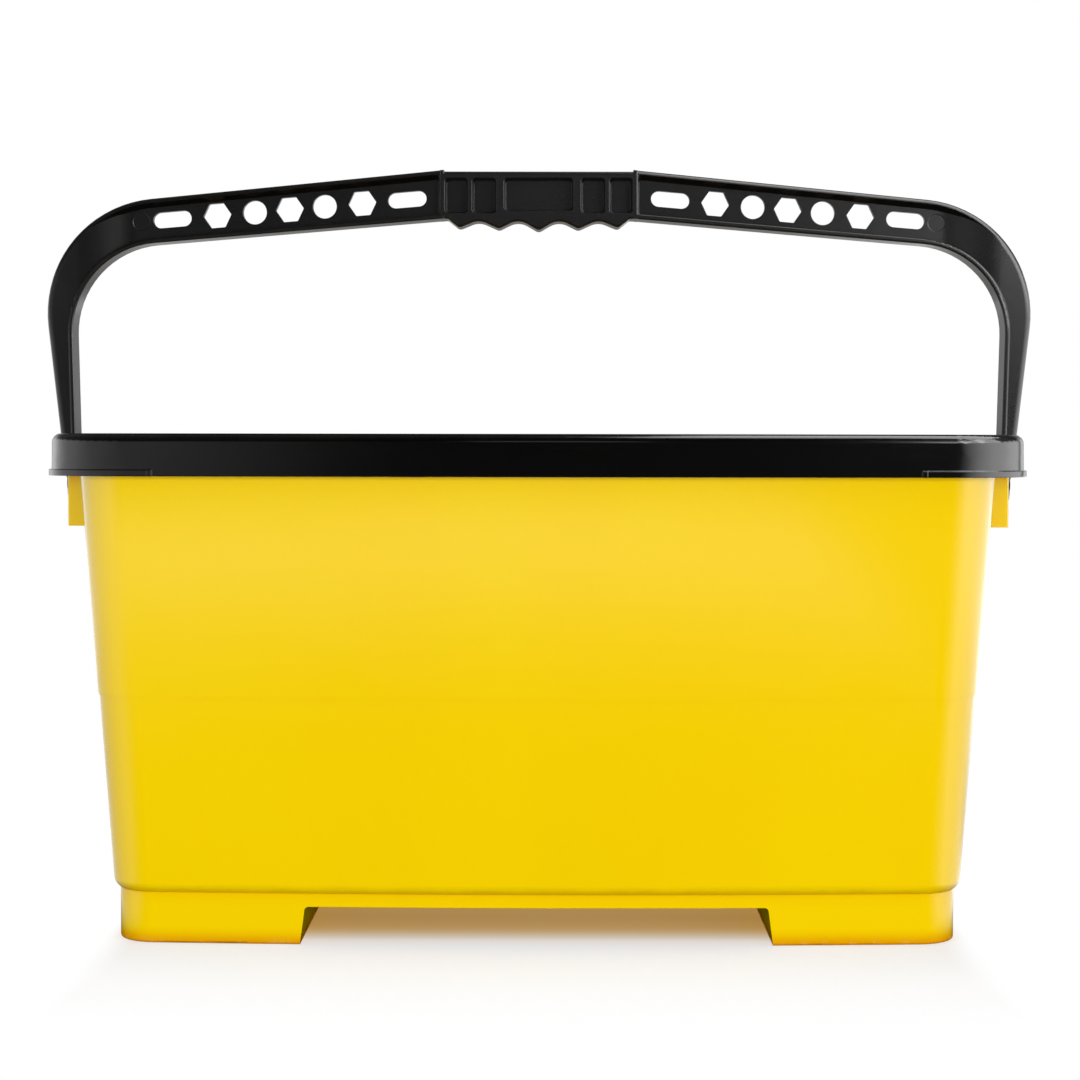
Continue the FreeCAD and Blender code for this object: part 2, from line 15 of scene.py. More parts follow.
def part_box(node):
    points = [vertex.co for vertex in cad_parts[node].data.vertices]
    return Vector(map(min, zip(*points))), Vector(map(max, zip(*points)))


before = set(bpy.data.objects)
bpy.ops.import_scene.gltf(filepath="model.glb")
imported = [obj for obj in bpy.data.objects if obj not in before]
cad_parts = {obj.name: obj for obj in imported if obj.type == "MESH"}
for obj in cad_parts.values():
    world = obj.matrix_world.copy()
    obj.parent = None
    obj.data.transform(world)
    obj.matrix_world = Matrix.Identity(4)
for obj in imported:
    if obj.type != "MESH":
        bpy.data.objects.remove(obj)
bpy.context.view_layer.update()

MM = 0.001
tub_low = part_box("tub")[0]
rim_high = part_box("rim")[1]
handle_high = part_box("handle")[1]
print("pieces:", ", ".join(sorted(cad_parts)))
print("rim top at %.1f mm, handle top at %.1f mm" % (rim_high.z / MM, handle_high.z / MM))

# %% [markdown]
# ## The camera
# A product photograph is a perspective view, and three measurements fix its camera. The rim's
# top edge and the underside of its ledge both look level, so the lens is at the height of the
# rim, and that height is the horizon's row in the picture. The size of the tub against its
# depth gives the distance. The rest is aim. The lens could be shifted to put the horizon above
# the middle, but a small downward tilt does it too, and it stays right when the view turns.

# %% Camera
PICTURE = 1080.0
LENS_IN_PIXELS = 2337.0
HORIZON_ROW = 442.0
CENTRE_COLUMN = 538.2
SENSOR_MM = 36.0
CAMERA_DISTANCE = 1.285
CAMERA_BELOW_RIM = 4.0 * MM
CAMERA_ROLL = math.radians(0.10)
CAMERA_ORBIT = math.radians(0.35)
CAMERA_TILT = math.atan((PICTURE / 2 - HORIZON_ROW) / LENS_IN_PIXELS)
CAMERA_TURN = math.atan((CENTRE_COLUMN - PICTURE / 2) / LENS_IN_PIXELS)


def make_camera():
    data = bpy.data.cameras.new("photo_camera")
    data.sensor_width = SENSOR_MM
    data.lens = LENS_IN_PIXELS / PICTURE * SENSOR_MM
    camera = bpy.data.objects.new("photo_camera", data)
    bpy.context.scene.collection.objects.link(camera)
    aim = (Matrix.Rotation(CAMERA_ORBIT + CAMERA_TURN, 4, "Z")
           @ Matrix.Rotation(math.pi / 2 - CAMERA_TILT, 4, "X")
           @ Matrix.Rotation(CAMERA_ROLL, 4, "Z"))
    place = Matrix.Rotation(CAMERA_ORBIT, 4, "Z") @ Vector((0, -CAMERA_DISTANCE, 0))
    place.z = rim_high.z - CAMERA_BELOW_RIM
    camera.matrix_world = Matrix.Translation(place) @ aim
    bpy.context.scene.camera = camera
    return camera


camera = make_camera()
print("lens %.1f mm, tilt %.2f degrees" % (camera.data.lens, math.degrees(CAMERA_TILT)))

# %% [markdown]
# ## A few words for node trees
# Node trees are long to write out, so six small helpers keep them readable. One adds a node
# and sets or links its inputs. Three wrap the nodes that come up most: a Math node, a ramp that
# carries a value from one range to another, and a mix of two colours. The last two make a node
# group with named sockets, and place it in a material with that material's own values. A group
# is the right home for an effect that several materials share.

# %% Node helpers
COLUMN_WIDTH = 200


def add(tree, kind, column=0, row=0, inputs=None, **settings):
    """Add a node, set its properties, and set or link its inputs."""
    node = tree.nodes.new(kind)
    node.location = (column * COLUMN_WIDTH, -row * COLUMN_WIDTH)
    for name, value in settings.items():
        setattr(node, name, value)
    for name, value in (inputs or {}).items():
        if isinstance(value, bpy.types.NodeSocket):
            tree.links.new(value, node.inputs[name])
        else:
            node.inputs[name].default_value = value
    return node


def maths(tree, operation, first, second, column=0, row=0, clamp=False):
    """A Math node; each operand is a number or a socket."""
    node = add(tree, "ShaderNodeMath", column, row, {0: first, 1: second}, operation=operation)
    node.use_clamp = clamp
    return node.outputs[0]


def ramp(tree, value, low, high, to_low=0.0, to_high=1.0, column=0, row=0, smooth=True):
    """Carry a value from one range to another, flat outside it."""
    node = add(tree, "ShaderNodeMapRange", column, row,
               {"Value": value, "From Min": low, "From Max": high,
                "To Min": to_low, "To Max": to_high})
    node.interpolation_type = "SMOOTHSTEP" if smooth else "LINEAR"
    return node.outputs[0]


def mix_colour(tree, share, first, second, column=0, row=0):
    """A Mix node for two colours; each is a socket or a colour."""
    return add(tree, "ShaderNodeMix", column, row, {0: share, 6: first, 7: second},
               data_type="RGBA").outputs[2]


def make_group(name, inputs, outputs):
    """An empty node group with its sockets; returns the tree, its input node and output node."""
    tree = bpy.data.node_groups.new(name, "ShaderNodeTree")
    for socket, (kind, value) in inputs.items():
        made = tree.interface.new_socket(socket, in_out="INPUT", socket_type=kind)
        made.default_value = value
    for socket, kind in outputs.items():
        tree.interface.new_socket(socket, in_out="OUTPUT", socket_type=kind)
    return tree, tree.nodes.new("NodeGroupInput"), tree.nodes.new("NodeGroupOutput")


def place_group(tree, group, column=0, row=0, **values):
    """Put a group in a material with its own values; underscores stand for spaces."""
    node = add(tree, "ShaderNodeGroup", column, row, node_tree=group)
    for name, value in values.items():
        node.inputs[name.replace("_", " ").capitalize()].default_value = value
    return node


print("node helpers ready")

# %% [markdown]
# ## Even shading over the seams
# A CAD model is meshed face by face, and each face brings its own normals, so a glossy wall
# shows a faint crease wherever two smooth faces meet. Remodelling isn't needed. Two modifiers in
# a row mend it: a small Geometry Nodes tree welds the faces, forgets the stored normals and
# marks as sharp only the edges that turn by more than a limit, and a Weighted Normal modifier
# then lets the large faces decide, so that flat stays flat and the bend is left to the fillets.

# %% Weld the seams
WELD_DISTANCE = 0.002 * MM
SHARP_ANGLE = math.radians(28)


def seam_welder():
    tree = bpy.data.node_groups.new("weld seams", "GeometryNodeTree")
    tree.interface.new_socket("Mesh", in_out="INPUT", socket_type="NodeSocketGeometry")
    tree.interface.new_socket("Mesh", in_out="OUTPUT", socket_type="NodeSocketGeometry")
    inputs, outputs = tree.nodes.new("NodeGroupInput"), tree.nodes.new("NodeGroupOutput")
    welded = add(tree, "GeometryNodeMergeByDistance", 1, 0,
                 {"Geometry": inputs.outputs[0], "Distance": WELD_DISTANCE})
    plain = add(tree, "GeometryNodeRemoveAttribute", 2, 0,
                {"Geometry": welded.outputs[0], "Name": "custom_normal"})
    smooth = add(tree, "GeometryNodeSetShadeSmooth", 3, 0,
                 {"Geometry": plain.outputs[0], "Shade Smooth": True}, domain="FACE")
    angle = add(tree, "GeometryNodeInputMeshEdgeAngle", 2, 1).outputs["Unsigned Angle"]
    turned = add(tree, "FunctionNodeCompare", 3, 1, {0: angle, 1: SHARP_ANGLE},
                 operation="GREATER_THAN")
    sharp = add(tree, "GeometryNodeSetShadeSmooth", 4, 0,
                {"Geometry": smooth.outputs[0], "Selection": turned.outputs[0],
                 "Shade Smooth": False}, domain="EDGE")
    tree.links.new(sharp.outputs[0], outputs.inputs[0])
    return tree


weld_seams = seam_welder()
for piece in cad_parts.values():
    weld = piece.modifiers.new("weld seams", "NODES")
    weld.node_group = weld_seams
    even = piece.modifiers.new("even normals", "WEIGHTED_NORMAL")
    even.keep_sharp = True
    print(piece.name, "has its seams welded")

# %% [markdown]
# ## The moulded skin
# Injection moulded plastic copies the steel it was pressed against. Polished steel leaves a
# skin with a slow, shallow ripple called orange peel, and blasted steel leaves a fine even
# grain. Both are noise, at two scales. The group adds them up to one height for a Bump node. A
# third noise, much slower, lets the roughness drift, because no moulding is equally bright all
# over.

# %% Moulded skin group
FLOAT = "NodeSocketFloat"
COLOUR = "NodeSocketColor"
ROUGHNESS_DRIFT_SCALE = 14.0
NOISE_MIDDLE = 0.5


def moulded_skin_group():
    tree, inputs, outputs = make_group(
        "moulded skin",
        {"Peel scale": (FLOAT, 220.0), "Peel depth": (FLOAT, 0.5),
         "Grain scale": (FLOAT, 1800.0), "Grain depth": (FLOAT, 0.2),
         "Roughness": (FLOAT, 0.3), "Drift": (FLOAT, 0.05)},
        {"Roughness": FLOAT, "Height": FLOAT})
    place = add(tree, "ShaderNodeTexCoord", -4).outputs["Object"]
    peel = add(tree, "ShaderNodeTexNoise", -2, 0,
               {"Vector": place, "Scale": inputs.outputs["Peel scale"],
                "Detail": 2.0, "Roughness": 0.45})
    grain = add(tree, "ShaderNodeTexNoise", -2, 1,
                {"Vector": place, "Scale": inputs.outputs["Grain scale"],
                 "Detail": 3.0, "Roughness": 0.6})
    slow = add(tree, "ShaderNodeTexNoise", -2, 2,
               {"Vector": place, "Scale": ROUGHNESS_DRIFT_SCALE, "Detail": 3.0})
    peel_height = maths(tree, "MULTIPLY", peel.outputs[0], inputs.outputs["Peel depth"], -1, 0)
    grain_height = maths(tree, "MULTIPLY", grain.outputs[0], inputs.outputs["Grain depth"], -1, 1)
    height = maths(tree, "ADD", peel_height, grain_height, 0, 0)
    centred = maths(tree, "SUBTRACT", slow.outputs[0], NOISE_MIDDLE, -1, 2)
    drift = maths(tree, "MULTIPLY", centred, inputs.outputs["Drift"], 0, 2)
    roughness = maths(tree, "ADD", inputs.outputs["Roughness"], drift, 1, 2, clamp=True)
    tree.links.new(roughness, outputs.inputs["Roughness"])
    tree.links.new(height, outputs.inputs["Height"])
    return tree


moulded_skin = moulded_skin_group()
print("group made:", moulded_skin.name)

# %% [markdown]
# ## Hairline scratches
# Even a new bucket has been stacked in another one, and that leaves hairlines that show only
# where light glances off. A noise stretched thirty times along one direction makes streaks, a
# narrow band of its values keeps a few of them, and a second slow noise says where they gather.
# Two directions are crossed so that they don't look combed.

# %% Scratch group
STREAK_STRETCH = 30.0
STREAK_TURNS = ((0.35, 0.2), (-1.05, -0.5))
STREAK_BAND = 0.012
GATHERING_SCALE = 22.0
GATHERING_RANGE = (0.5, 0.68)


def scratches_group():
    tree, inputs, outputs = make_group(
        "hairline scratches",
        {"Scale": (FLOAT, 26.0), "Amount": (FLOAT, 0.5)},
        {"Mask": FLOAT})
    place = add(tree, "ShaderNodeTexCoord", -6).outputs["Object"]
    streaks = []
    for row, (turn, lean) in enumerate(STREAK_TURNS):
        turned = add(tree, "ShaderNodeMapping", -5, row,
                     {"Vector": place, "Rotation": (lean, turn, lean),
                      "Scale": (1.0, STREAK_STRETCH, STREAK_STRETCH)})
        noise = add(tree, "ShaderNodeTexNoise", -4, row,
                    {"Vector": turned.outputs[0], "Scale": inputs.outputs["Scale"], "Detail": 1.0})
        off_middle = maths(tree, "SUBTRACT", noise.outputs[0], NOISE_MIDDLE, -3, row)
        distance = maths(tree, "ABSOLUTE", off_middle, 0.0, -2, row)
        streaks.append(ramp(tree, distance, 0.0, STREAK_BAND, 1.0, 0.0, -1, row))
    both = maths(tree, "MAXIMUM", streaks[0], streaks[1], 0, 0)
    patch = add(tree, "ShaderNodeTexNoise", -3, 3,
                {"Vector": place, "Scale": GATHERING_SCALE, "Detail": 2.0})
    gathered = ramp(tree, patch.outputs[0], *GATHERING_RANGE, 0.0, 1.0, -2, 3)
    masked = maths(tree, "MULTIPLY", both, gathered, 1, 0)
    amount = maths(tree, "MULTIPLY", masked, inputs.outputs["Amount"], 2, 0)
    tree.links.new(amount, outputs.inputs["Mask"])
    return tree


scratches = scratches_group()
print("group made:", scratches.name)

# %% [markdown]
# ## Dust
# Dust settles on what faces up, and a little grey on black plastic tells the eye how big the
# thing is. The group reads how far the surface faces up, and breaks that up with two noises,
# one for patches and one for specks. Each material mixes it into its colour, and the glossy
# rim into its roughness too.

# %% Dust group
DUST_FACING_RANGE = (0.1, 0.95)
DUST_PATCH_SCALE = 40.0

# From one noise value to another, and the share of the dust that stays at either value.
DUST_PATCHES = (0.35, 0.7, 0.3, 1.0)
DUST_SPECKS = (0.55, 0.72, 0.25, 1.0)


def dust_group():
    tree, inputs, outputs = make_group(
        "settled dust",
        {"Amount": (FLOAT, 0.3), "Speck scale": (FLOAT, 900.0)},
        {"Mask": FLOAT})
    place = add(tree, "ShaderNodeTexCoord", -5).outputs["Object"]
    normal = add(tree, "ShaderNodeNewGeometry", -5, 1).outputs["Normal"]
    up = add(tree, "ShaderNodeSeparateXYZ", -4, 1, {"Vector": normal}).outputs["Z"]
    facing = ramp(tree, up, *DUST_FACING_RANGE, 0.0, 1.0, -3, 1)
    patch = add(tree, "ShaderNodeTexNoise", -4, 0,
                {"Vector": place, "Scale": DUST_PATCH_SCALE, "Detail": 3.0})
    speck = add(tree, "ShaderNodeTexNoise", -4, 2,
                {"Vector": place, "Scale": inputs.outputs["Speck scale"], "Detail": 2.0})
    patches = ramp(tree, patch.outputs[0], *DUST_PATCHES, -3, 0)
    specks = ramp(tree, speck.outputs[0], *DUST_SPECKS, -3, 2)
    broken = maths(tree, "MULTIPLY", patches, specks, -2, 1)
    settled = maths(tree, "MULTIPLY", broken, facing, -1, 1)
    amount = maths(tree, "MULTIPLY", settled, inputs.outputs["Amount"], 0, 1, clamp=True)
    tree.links.new(amount, outputs.inputs["Mask"])
    return tree


dust = dust_group()
print("group made:", dust.name)

# %% [markdown]
# ## Colour drift
# Pigment is stirred into the melt and never quite evenly. The group mixes two near colours by a
# slow noise that is stretched upwards, the way the melt rose in the mould.

# %% Colour drift group
RISE_STRETCH = (1.0, 1.0, 0.35)
COLOUR_SHARE_RANGE = (0.3, 0.7)


def colour_drift_group():
    tree, inputs, outputs = make_group(
        "colour drift",
        {"Main colour": (COLOUR, (0.8, 0.8, 0.8, 1.0)),
         "Other colour": (COLOUR, (0.7, 0.7, 0.7, 1.0)),
         "Scale": (FLOAT, 9.0), "Amount": (FLOAT, 1.0)},
        {"Colour": COLOUR})
    place = add(tree, "ShaderNodeTexCoord", -5).outputs["Object"]
    risen = add(tree, "ShaderNodeMapping", -4, 0, {"Vector": place, "Scale": RISE_STRETCH})
    noise = add(tree, "ShaderNodeTexNoise", -3, 0,
                {"Vector": risen.outputs[0], "Scale": inputs.outputs["Scale"], "Detail": 4.0,
                 "Roughness": 0.55, "Distortion": 0.4})
    share = ramp(tree, noise.outputs[0], *COLOUR_SHARE_RANGE, 0.0, 1.0, -2, 0)
    amount = maths(tree, "MULTIPLY", share, inputs.outputs["Amount"], -1, 0, clamp=True)
    mixed = mix_colour(tree, amount, inputs.outputs["Main colour"], inputs.outputs["Other colour"])
    tree.links.new(mixed, outputs.inputs["Colour"])
    return tree


colour_drift = colour_drift_group()
print("group made:", colour_drift.name)

# %% [markdown]
# ## The yellow tub
# The tub is polypropylene: an even, slightly waxy yellow with a clear gloss and a faint ripple.
# A Principled BSDF with a plain colour would look like paint on a screen, so the colour drifts
# between two yellows, and the ripple and the hairlines break up the highlights. The edges of a
# moulding are never knife sharp. A Bevel node bends the normal near each edge, so edges catch
# the light in a thin line as they do on the real bucket.
#
# The Ambient Occlusion node finds narrow places, such as grooves, and the material mixes a
# deeper orange into its colour there. That orange is painted shade: it stands in for the darker,
# more orange light that comes out of a groove after going from yellow to yellow. Last, the lowest
# few millimetres of the feet are rubbed by the floor, a little paler and duller than the rest.

# %% Tub material
TUB_YELLOW = (0.880, 0.606, 0.0, 1.0)
TUB_DEEP_YELLOW = (0.872, 0.578, 0.0, 1.0)
TUB_EDGE_RADIUS = 0.6 * MM
POLYPROPYLENE_IOR = 1.49
# Painted shade: an orange mixed into the colour where the surface is closed in, with its reach,
# samples and range.
PAINTED_SHADE_ORANGE = (0.700, 0.260, 0.0, 1.0)
PAINTED_SHADE_REACH = 9 * MM
PAINTED_SHADE_SAMPLES = 8
PAINTED_SHADE_RANGE = (0.55, 0.97)
SCUFF_YELLOW = (0.78, 0.56, 0.10, 1.0)
SCUFF_HEIGHT = 5 * MM
SCUFF_SCALE = 160.0
SCUFF_RANGE = (0.45, 0.65)
SCUFF_COLOUR_SHARE = 0.10
SCUFF_ROUGHNESS = 0.25
TUB_LINE_ROUGHNESS = 0.16
DUST_ON_YELLOW = (0.78, 0.74, 0.66, 1.0)
EDGE_SAMPLES = 6


def start_material(name, edge_radius):
    """A material with its Principled BSDF and the Bevel node that rounds its edges."""
    material = bpy.data.materials.new(name)
    material.use_nodes = True
    tree = material.node_tree
    surface = tree.nodes["Principled BSDF"]
    surface.location = (4 * COLUMN_WIDTH, 0)
    tree.nodes["Material Output"].location = (6 * COLUMN_WIDTH, 0)
    edge = add(tree, "ShaderNodeBevel", 1, 3, {"Radius": edge_radius}, samples=EDGE_SAMPLES)
    return material, tree, surface, edge.outputs["Normal"]


def tub_material():
    material, tree, surface, edge = start_material("yellow_polypropylene", TUB_EDGE_RADIUS)
    skin = place_group(tree, moulded_skin, -3, 1, peel_scale=240.0, peel_depth=0.5,
                       grain_scale=1900.0, grain_depth=0.06, roughness=0.12, drift=0.06)
    drift = place_group(tree, colour_drift, -3, 0, main_colour=TUB_YELLOW,
                        other_colour=TUB_DEEP_YELLOW, scale=7.0, amount=0.7)
    lines = place_group(tree, scratches, -3, 2, scale=30.0, amount=0.6)
    settled = place_group(tree, dust, -3, 3, amount=0.10, speck_scale=700.0)
    place = add(tree, "ShaderNodeTexCoord", -5, 4).outputs["Object"]
    height = add(tree, "ShaderNodeSeparateXYZ", -4, 4, {"Vector": place}).outputs["Z"]
    near_floor = ramp(tree, height, 0.0, SCUFF_HEIGHT, 1.0, 0.0, -3, 4)
    rub = add(tree, "ShaderNodeTexNoise", -3, 5,
              {"Vector": place, "Scale": SCUFF_SCALE, "Detail": 4.0})
    patchy = ramp(tree, rub.outputs[0], *SCUFF_RANGE, column=-2, row=5)
    rubbed = maths(tree, "MULTIPLY", near_floor, patchy, -1, 4)
    # Painted shade: where Ambient Occlusion finds the surface closed in, the colour turns a deeper
    # orange.
    open_sky = add(tree, "ShaderNodeAmbientOcclusion", -3, 6, {"Distance": PAINTED_SHADE_REACH},
                   samples=PAINTED_SHADE_SAMPLES).outputs["AO"]
    painted_shade_share = ramp(tree, open_sky, *PAINTED_SHADE_RANGE, 1.0, 0.0, -2, 6, smooth=False)
    shade_tinted = mix_colour(tree, painted_shade_share, drift.outputs["Colour"], PAINTED_SHADE_ORANGE, -1, 0)
    scuff = maths(tree, "MULTIPLY", rubbed, SCUFF_COLOUR_SHARE, 0, 4)
    scuffed = mix_colour(tree, scuff, shade_tinted, SCUFF_YELLOW, 0, 0)
    dusty = mix_colour(tree, settled.outputs["Mask"], scuffed, DUST_ON_YELLOW, 1, 0)
    line_roughness = maths(tree, "MULTIPLY", lines.outputs["Mask"], TUB_LINE_ROUGHNESS, -1, 2)
    rough = maths(tree, "ADD", skin.outputs["Roughness"], line_roughness, 0, 1)
    scuff_roughness = maths(tree, "MULTIPLY", rubbed, SCUFF_ROUGHNESS, 0, 5)
    rougher = maths(tree, "ADD", rough, scuff_roughness, 1, 1, clamp=True)
    bump = add(tree, "ShaderNodeBump", 2, 2,
               {"Strength": 0.35, "Distance": 0.12 * MM,
                "Height": skin.outputs["Height"], "Normal": edge})
    tree.links.new(dusty, surface.inputs["Base Color"])
    tree.links.new(rougher, surface.inputs["Roughness"])
    tree.links.new(bump.outputs["Normal"], surface.inputs["Normal"])
    surface.inputs["IOR"].default_value = POLYPROPYLENE_IOR
    return material


yellow_plastic = tub_material()
print("material made:", yellow_plastic.name)

# %% [markdown]
# ## The black rim
# The rim came from polished steel too, so its ripple is slow and its roughness low. It is black,
# so nearly all that it shows is reflection: white walls at its rounded ends and a dark room
# along its front. A black this glossy needs a very dark base colour, because what looks grey on
# it is light from elsewhere.

# %% Rim material
RIM_BLACK = (0.0009, 0.0009, 0.0010, 1.0)
RIM_WARM_BLACK = (0.0014, 0.0013, 0.0012, 1.0)
RIM_EDGE_RADIUS = 0.7 * MM
RIM_LINE_ROUGHNESS = 0.12
DUST_GREY = (0.30, 0.29, 0.28, 1.0)
DUST_ROUGHNESS = 1.5
BLACK_PLASTIC_IOR = 1.50


def rim_material():
    material, tree, surface, edge = start_material("black_gloss_plastic", RIM_EDGE_RADIUS)
    skin = place_group(tree, moulded_skin, -3, 1, peel_scale=130.0, peel_depth=0.8,
                       grain_scale=1500.0, grain_depth=0.03, roughness=0.13, drift=0.06)
    drift = place_group(tree, colour_drift, -3, 0, main_colour=RIM_BLACK,
                        other_colour=RIM_WARM_BLACK, scale=12.0, amount=1.0)
    lines = place_group(tree, scratches, -3, 2, scale=34.0, amount=0.5)
    settled = place_group(tree, dust, -3, 3, amount=0.05, speck_scale=1100.0)
    dusty = mix_colour(tree, settled.outputs["Mask"], drift.outputs["Colour"], DUST_GREY, 0, 0)
    line_roughness = maths(tree, "MULTIPLY", lines.outputs["Mask"], RIM_LINE_ROUGHNESS, -1, 2)
    rough = maths(tree, "ADD", skin.outputs["Roughness"], line_roughness, 0, 1)
    dust_roughness = maths(tree, "MULTIPLY", settled.outputs["Mask"], DUST_ROUGHNESS, -1, 3)
    rougher = maths(tree, "ADD", rough, dust_roughness, 1, 1, clamp=True)
    bump = add(tree, "ShaderNodeBump", 2, 2,
               {"Strength": 0.25, "Distance": 0.10 * MM,
                "Height": skin.outputs["Height"], "Normal": edge})
    tree.links.new(dusty, surface.inputs["Base Color"])
    tree.links.new(rougher, surface.inputs["Roughness"])
    tree.links.new(bump.outputs["Normal"], surface.inputs["Normal"])
    surface.inputs["IOR"].default_value = BLACK_PLASTIC_IOR
    return material


black_gloss = rim_material()
print("material made:", black_gloss.name)

# %% [markdown]
# ## The black handle and its pins
# The handle is nearly the same black in a satin finish: the steel was blasted, so a fine grain
# spreads each highlight. Hands polish a grip and leave it a little duller or brighter in places,
# which the skin group's slow drift of the roughness gives, and a hairline in a satin skin is
# smoother than the skin itself. The pins are the same plastic with a finer grain, so one
# function makes both materials from their own values.

# %% Handle and pin materials
HANDLE_BLACK = (0.0014, 0.0014, 0.0015, 1.0)
HANDLE_GREY_BLACK = (0.0024, 0.0023, 0.0023, 1.0)
SATIN_LINE_ROUGHNESS = -0.10
SATIN_ROUGHNESS = 0.30
HANDLE_GRAIN_SCALE = 1600.0
HANDLE_EDGE_RADIUS = 0.55 * MM
PIN_GRAIN_SCALE = 2600.0
PIN_EDGE_RADIUS = 0.3 * MM


def satin_material(name, grain_scale, edge_radius):
    material, tree, surface, edge = start_material(name, edge_radius)
    skin = place_group(tree, moulded_skin, -3, 1, peel_scale=300.0, peel_depth=0.4,
                       grain_scale=grain_scale, grain_depth=0.6, roughness=SATIN_ROUGHNESS,
                       drift=0.12)
    drift = place_group(tree, colour_drift, -3, 0, main_colour=HANDLE_BLACK,
                        other_colour=HANDLE_GREY_BLACK, scale=16.0, amount=1.0)
    lines = place_group(tree, scratches, -3, 2, scale=44.0, amount=0.5)
    settled = place_group(tree, dust, -3, 3, amount=0.05, speck_scale=1300.0)
    dusty = mix_colour(tree, settled.outputs["Mask"], drift.outputs["Colour"], DUST_GREY, 0, 0)
    line_roughness = maths(tree, "MULTIPLY", lines.outputs["Mask"], SATIN_LINE_ROUGHNESS, -1, 2)
    rough = maths(tree, "ADD", skin.outputs["Roughness"], line_roughness, 0, 1, clamp=True)
    bump = add(tree, "ShaderNodeBump", 2, 2,
               {"Strength": 0.30, "Distance": 0.08 * MM,
                "Height": skin.outputs["Height"], "Normal": edge})
    tree.links.new(dusty, surface.inputs["Base Color"])
    tree.links.new(rough, surface.inputs["Roughness"])
    tree.links.new(bump.outputs["Normal"], surface.inputs["Normal"])
    surface.inputs["IOR"].default_value = BLACK_PLASTIC_IOR
    return material


black_satin = satin_material("black_satin_plastic", HANDLE_GRAIN_SCALE, HANDLE_EDGE_RADIUS)
pin_black = satin_material("black_pin_plastic", PIN_GRAIN_SCALE, PIN_EDGE_RADIUS)
print("materials made:", black_satin.name, "and", pin_black.name)

# %% [markdown]
# ## Dress the pieces
# The CAD pieces already have their true shapes, so none is replaced. Each keeps its mesh and
# its two seam modifiers, and gets its material in every slot that it has.

# %% Give each piece its finish
FINISHES = {
    "tub": (yellow_plastic, "yellow_plastic"),
    "rim": (black_gloss, "black_gloss_plastic"),
    "handle": (black_satin, "black_satin_plastic"),
    "left_pivot_pin": (pin_black, "black_satin_plastic"),
    "right_pivot_pin": (pin_black, "black_satin_plastic"),
}

for piece_name, (material, slot_name) in FINISHES.items():
    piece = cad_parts[piece_name]
    if not piece.material_slots:
        piece.data.materials.append(material)
    for slot in piece.material_slots:
        slot.material = material
    print(piece_name, "wears", material.name)

# %% [markdown]
# ## The floor
# The background of the photograph is white, and only a faint warm shadow before the feet says
# where the floor is. A floor that is simply very bright would throw too much light up at the
# bucket. So the Light Path node tells apart what asks.
#
# The camera sees a floor with a weak shadow that fades to pure white further out. That shadow
# is partly real, from the lamps, and partly painted: near the bucket the floor glows with a colour
# that darkens and turns warm, standing in for the shade under the tub and the light that the
# yellow tub throws there. Light that bounces off the floor finds it a dark grey, and lamps give
# the matt walls their light instead.
#
# Mirror rays find the studio. Before the bucket lie rings of light and dark around its middle,
# which make the slow bands on the tub's front. They end at a little right of the tub. On both
# sides lies brighter floor, beyond a line that runs outwards from each front corner, and it
# lights up the tub's rounded ends. Behind the bucket the floor is bright close by and darker
# further off, which draws the pale line on the handle's underside.
#
# None of this is sampled as a lamp, which keeps the picture free of noise.

# %% Floor
FLOOR_RADIUS = 4.0
FLOOR_SIDES = 96
FLOOR_GAP = 0.05 * MM
FLOOR_BOUNCE = 0.10
WHITE = (1.0, 1.0, 1.0, 1.0)

# The shadow that the camera sees, and where it ends: metres from the middle, to the side and ahead.
SHADOW_WHITE = (0.35, 0.35, 0.35, 1.0)
SHADOW_ENDS_AT_SIDE = (0.205, 0.225)
SHADOW_ENDS_IN_FRONT = (0.16, 0.27)

# The painted shadow that the floor glows with: metres ahead of the middle, then the colour.
PAINTED_SHADOW_SPAN = 0.5
PAINTED_SHADOW_COLOURS = (
    (0.0, (0.36, 0.20, 0.05)),
    (0.03, (0.33, 0.175, 0.035)),
    (0.055, (0.375, 0.207, 0.05)),
    (0.066, (0.43, 0.28, 0.12)),
    (0.079, (0.52, 0.43, 0.34)),
    (0.0885, (0.64, 0.59, 0.55)),
    (0.103, (0.65, 0.65, 0.665)),
    (0.137, (0.67, 0.68, 0.71)),
    (0.17, (0.70, 0.71, 0.74)),
    (0.5, (0.70, 0.705, 0.72)),
)

# The mirrored rings: metres from the middle, then the brightness.
MIRROR_RINGS = (
    (0.0, 0.0), (0.30, 0.0), (0.52, 0.03), (0.79, 0.26), (0.98, 0.66), (1.22, 1.22),
    (1.42, 1.27), (1.52, 0.80), (1.62, 0.05), (1.75, 0.0), (2.6, 0.05), (4.0, 0.2),
)
RINGS_END_AT_RIGHT = (0.34, 0.46)
RINGS_BEYOND_THE_END = 0.12

# The mirrored floor at the sides: its brightness left and right, and the lines where it starts.
SIDE_GLOW = (1.15, 2.2)
SIDE_GLOW_BLEND = 0.1
SIDE_GLOW_CORNER = (0.20, 0.12)
SIDE_GLOW_SLOPE = (0.45, 1.7)
LEAST_FORWARD = 0.05
SIDE_GLOW_GROWS = (0.6, 1.5, 0.8, 1.25)

# The mirrored floor behind: where it starts, where it ends at the sides, and how it fades. The
# last two numbers of a glow that grows or fades are its strength at the first two distances.
BACK_GLOW_STARTS = (0.0, 0.15)
BACK_GLOW_ENDS = (0.35, 0.70)
BACK_GLOW_FADES = (0.8, 1.9, 1.0, 0.28)


def steps(tree, value, span, stops, column=0, row=0):
    """Read a value off a row of (place, height) stops with a Color Ramp."""
    peak = max(height for _, height in stops)
    share = maths(tree, "DIVIDE", value, span, column, row)
    greys = [(place / span, (height / peak,) * 3) for place, height in stops]
    level = colour_steps(tree, share, greys, column + 1, row)
    return maths(tree, "MULTIPLY", level, peak, column + 2, row)


